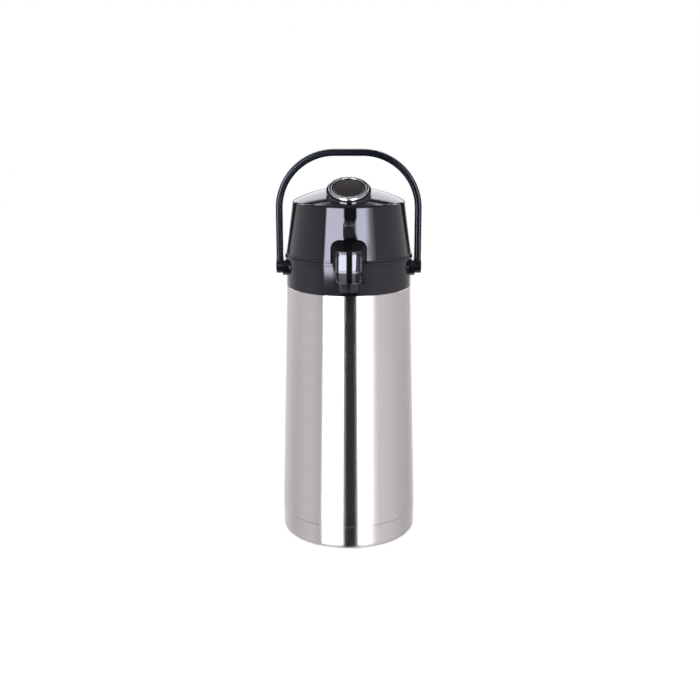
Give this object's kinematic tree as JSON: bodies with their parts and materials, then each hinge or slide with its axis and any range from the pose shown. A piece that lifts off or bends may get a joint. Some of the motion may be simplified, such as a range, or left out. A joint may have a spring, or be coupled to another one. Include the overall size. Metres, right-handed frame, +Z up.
{
  "type": "thermal coffee airpot",
  "caption": "Insulated coffee airpot: tapered steel shell over a vacuum flask, hinged pump lid with a slanted push button, front spout and a carrying bail.",
  "frame": {"origin": "on the airpot's axis at the floor, in the middle of the underside of the base pad", "axes": "+Z up along the flask's axis, -Y forwards along the spout, +X to the right as seen from behind the airpot"},
  "size_m": [0.1592, 0.1877, 0.433],
  "materials": {
    "rubber_black": "matt black rubber",
    "steel_brushed": "stainless steel brushed round the body in fine level lines",
    "steel_plain": "plain bright stainless steel",
    "silicone": "soft grey silicone",
    "plastic_gloss": "polished black moulded plastic",
    "plastic_matte": "dull dark moulded plastic",
    "plastic_face": "polished dark plastic plate",
    "plastic_white": "natural food-grade plastic",
    "chrome_ring": "bright chrome",
    "badge": "dark brown-black plate, bare",
    "plastic_bail": "satin slate-black moulded plastic"
  },
  "bodies": {
    "body": {"base_pad": "rubber_black", "base_cup": "steel_brushed", "bottom_cushion": "rubber_black", "body_shell": "steel_brushed", "flask_outer": "steel_plain", "flask_inner": "steel_plain", "flask_neck": "steel_plain", "neck_gasket": "silicone", "mounting_ring": "steel_plain", "collar": "plastic_gloss", "collar_screws": "steel_plain", "hinge_pin": "steel_plain", "tube_head": "plastic_white", "dip_tube": "plastic_white", "outlet_seal": "silicone", "outlet_pipe": "plastic_white", "spout_under": "plastic_matte", "spout_cover": "plastic_gloss", "spout_face": "plastic_face", "spout_screws": "steel_plain", "nozzle": "plastic_matte"},
    "ball": {"valve_ball": "steel_plain"},
    "lid": {"lid_shell": "plastic_gloss", "lid_base": "plastic_matte", "lid_gasket": "silicone", "lid_screws": "steel_plain", "air_valve": "silicone", "bellows": "rubber_black", "return_spring": "steel_plain", "latch_spring": "steel_plain"},
    "pump": {"push_plate": "plastic_matte", "button": "plastic_gloss", "button_ring": "chrome_ring", "button_badge": "badge"},
    "latch": {"latch": "plastic_matte"},
    "bail_pivot": {"bail_pins": "steel_plain", "bail_caps": "plastic_bail"},
    "bail": {"bail": "plastic_bail"}
  },
  "joints": [
    {"name": "lid_open", "type": "hinge", "parent": "body", "child": "lid", "pos_m": [0, 0.0745, 0.323], "axis": [-1, 0, 0], "range_deg": [0, 85]},
    {"name": "pump_press", "type": "slide", "parent": "lid", "child": "pump", "axis": [0, 0, -1], "range_m": [0, 0.018], "stiffness_N_per_m": 400, "springref_m": -0.02, "deforming": ["bellows", "return_spring"]},
    {"name": "latch_press", "type": "slide", "parent": "lid", "child": "latch", "axis": [0, 0.9911, -0.1334], "range_m": [0, 0.0024], "stiffness_N_per_m": 600, "springref_m": -0.004, "deforming": ["latch_spring"]},
    {"name": "bail_follow", "type": "hinge", "parent": "body", "child": "bail_pivot", "pos_m": [0, 0, 0.3065], "axis": [1, 0, 0], "range_deg": [0, 98]},
    {"name": "bail_swing", "type": "hinge", "parent": "bail_pivot", "child": "bail", "pos_m": [0, 0, 0.3065], "axis": [-1, 0, 0], "range_deg": [-90, 90]},
    {"name": "ball_lift", "type": "slide", "parent": "body", "child": "ball", "axis": [0, 0, 1], "range_m": [0, 0.003]}
  ],
  "couplings": [
    {"joint": "bail_follow", "follows": "lid_open", "ratio": 1.15}
  ]
}
